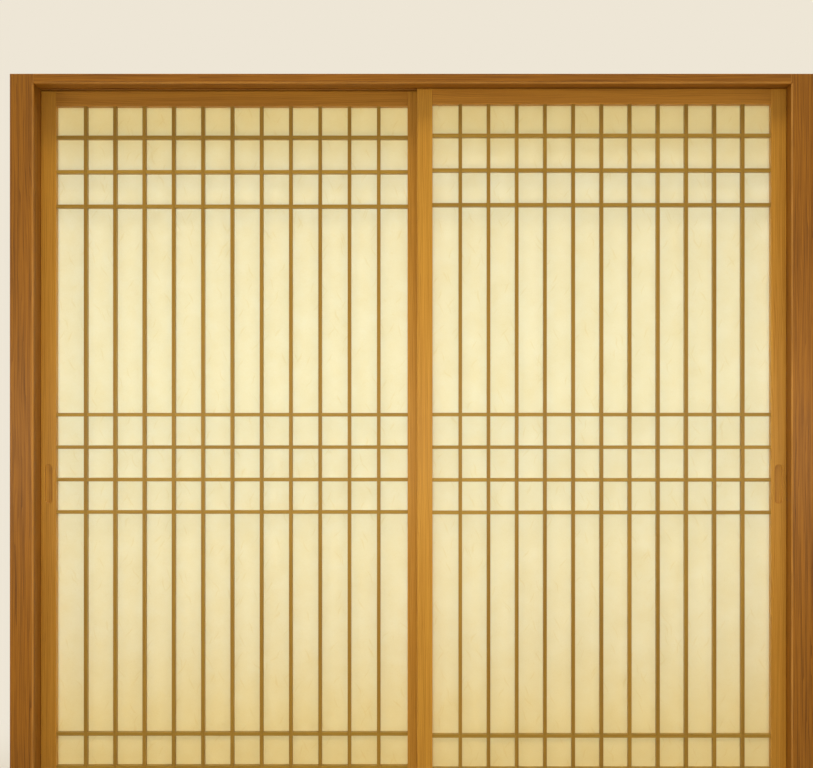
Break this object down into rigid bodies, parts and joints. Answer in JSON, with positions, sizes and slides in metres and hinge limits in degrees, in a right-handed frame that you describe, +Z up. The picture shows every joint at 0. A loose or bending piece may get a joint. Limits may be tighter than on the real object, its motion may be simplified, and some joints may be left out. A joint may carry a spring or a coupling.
{
  "type": "pair of sliding lattice panels in a frame",
  "caption": "Pair of sliding wooden lattice panels backed with translucent paper, running in the grooves of a timber frame with head, sill and jambs.",
  "frame": {"origin": "middle of the frame's underside", "axes": "+X to the right along the tracks as seen from the room, +Y away from the room, +Z up"},
  "size_m": [2.0536, 0.14, 2.0465],
  "materials": {
    "frame_wood": "honey-brown satin lacquer",
    "panel_wood": "honey-brown satin lacquer, straight grain",
    "lattice_wood": "planed, honey-brown satin lacquer",
    "paper": "translucent mulberry paper with long fibres"
  },
  "bodies": {
    "frame": {"head_rail": "frame_wood", "sill": "frame_wood", "left_jamb": "frame_wood", "right_jamb": "frame_wood"},
    "left_panel": {"left_panel_left_stile": "panel_wood", "left_panel_right_stile": "panel_wood", "left_panel_top_rail": "panel_wood", "left_panel_bottom_rail": "panel_wood", "left_panel_upright_bar_01": "lattice_wood", "left_panel_upright_bar_02": "lattice_wood", "left_panel_upright_bar_03": "lattice_wood", "left_panel_upright_bar_04": "lattice_wood", "left_panel_upright_bar_05": "lattice_wood", "left_panel_upright_bar_06": "lattice_wood", "left_panel_upright_bar_07": "lattice_wood", "left_panel_upright_bar_08": "lattice_wood", "left_panel_upright_bar_09": "lattice_wood", "left_panel_upright_bar_10": "lattice_wood", "left_panel_upright_bar_11": "lattice_wood", "left_panel_level_bar_01": "lattice_wood", "left_panel_level_bar_02": "lattice_wood", "left_panel_level_bar_03": "lattice_wood", "left_panel_level_bar_04": "lattice_wood", "left_panel_level_bar_05": "lattice_wood", "left_panel_level_bar_06": "lattice_wood", "left_panel_level_bar_07": "lattice_wood", "left_panel_level_bar_08": "lattice_wood", "left_panel_level_bar_09": "lattice_wood", "left_panel_level_bar_10": "lattice_wood", "left_panel_paper": "paper"},
    "right_panel": {"right_panel_left_stile": "panel_wood", "right_panel_right_stile": "panel_wood", "right_panel_top_rail": "panel_wood", "right_panel_bottom_rail": "panel_wood", "right_panel_upright_bar_01": "lattice_wood", "right_panel_upright_bar_02": "lattice_wood", "right_panel_upright_bar_03": "lattice_wood", "right_panel_upright_bar_04": "lattice_wood", "right_panel_upright_bar_05": "lattice_wood", "right_panel_upright_bar_06": "lattice_wood", "right_panel_upright_bar_07": "lattice_wood", "right_panel_upright_bar_08": "lattice_wood", "right_panel_upright_bar_09": "lattice_wood", "right_panel_upright_bar_10": "lattice_wood", "right_panel_upright_bar_11": "lattice_wood", "right_panel_level_bar_01": "lattice_wood", "right_panel_level_bar_02": "lattice_wood", "right_panel_level_bar_03": "lattice_wood", "right_panel_level_bar_04": "lattice_wood", "right_panel_level_bar_05": "lattice_wood", "right_panel_level_bar_06": "lattice_wood", "right_panel_level_bar_07": "lattice_wood", "right_panel_level_bar_08": "lattice_wood", "right_panel_level_bar_09": "lattice_wood", "right_panel_level_bar_10": "lattice_wood", "right_panel_paper": "paper"}
  },
  "joints": [
    {"name": "left_panel_slide", "type": "slide", "parent": "frame", "child": "left_panel", "axis": [1, 0, 0], "range_m": [0, 0.9391]},
    {"name": "right_panel_slide", "type": "slide", "parent": "frame", "child": "right_panel", "axis": [-1, 0, 0], "range_m": [0, 0.9781]}
  ]
}
